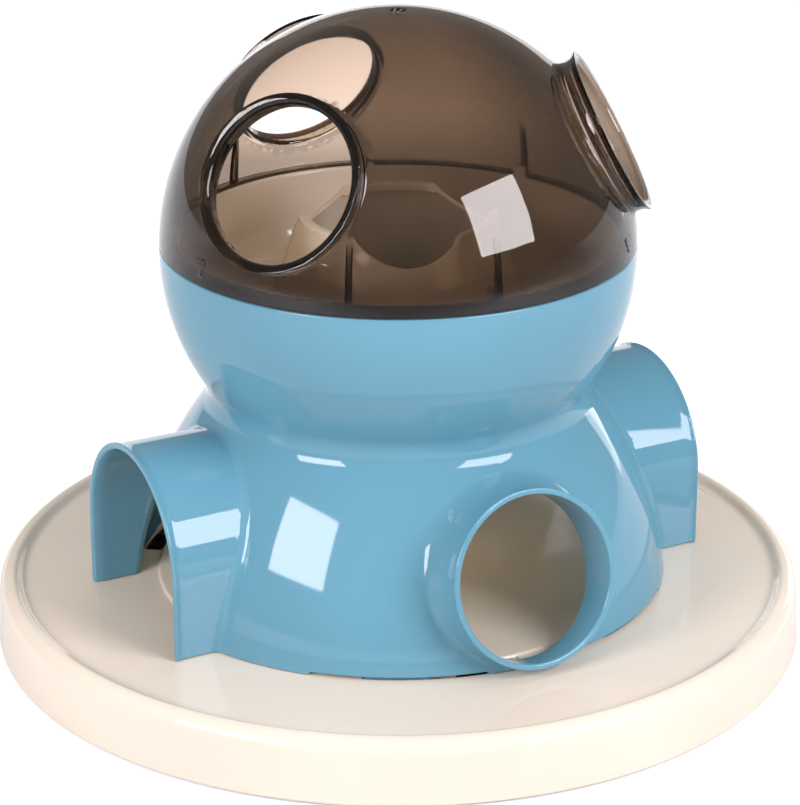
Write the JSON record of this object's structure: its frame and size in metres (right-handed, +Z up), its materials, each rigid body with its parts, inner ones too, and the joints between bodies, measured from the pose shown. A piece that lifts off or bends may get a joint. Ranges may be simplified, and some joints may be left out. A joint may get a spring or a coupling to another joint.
{
  "type": "cat treat dispenser toy",
  "caption": "Free-standing cat treat toy: round base, ball-and-skirt body with arch tunnels and round ports, ring-shaped treat tray, smoky dome with paw ports.",
  "frame": {"origin": "on the floor, in the middle of the round base", "axes": "+Z up; -Y out of one round port; +X and -X out of the two arch tunnels"},
  "size_m": [0.28, 0.28, 0.2185],
  "materials": {
    "cream_plastic": "moulded plastic, satin gloss",
    "blue_plastic": "moulded plastic, high gloss",
    "smoke_plastic": "clear moulded plastic, smoky brown, polished",
    "pad_rubber": "soft moulded rubber, matt"
  },
  "bodies": {
    "base": {"base_plate": "cream_plastic", "foot_pad_1": "pad_rubber", "foot_pad_2": "pad_rubber", "foot_pad_3": "pad_rubber", "foot_pad_4": "pad_rubber", "foot_pad_5": "pad_rubber", "foot_pad_6": "pad_rubber"},
    "body": {"body_shell": "blue_plastic", "treat_tray": "cream_plastic"},
    "dome": {"dome": "smoke_plastic"}
  },
  "joints": [
    {"name": "body_twist", "type": "hinge", "parent": "base", "child": "body", "pos_m": [0, 0, 0.0204], "axis": [0, 0, 1], "range_deg": [0, 20]},
    {"name": "dome_twist", "type": "hinge", "parent": "body", "child": "dome", "pos_m": [0, 0, 0.14], "axis": [0, 0, 1], "range_deg": [0, 20]}
  ]
}
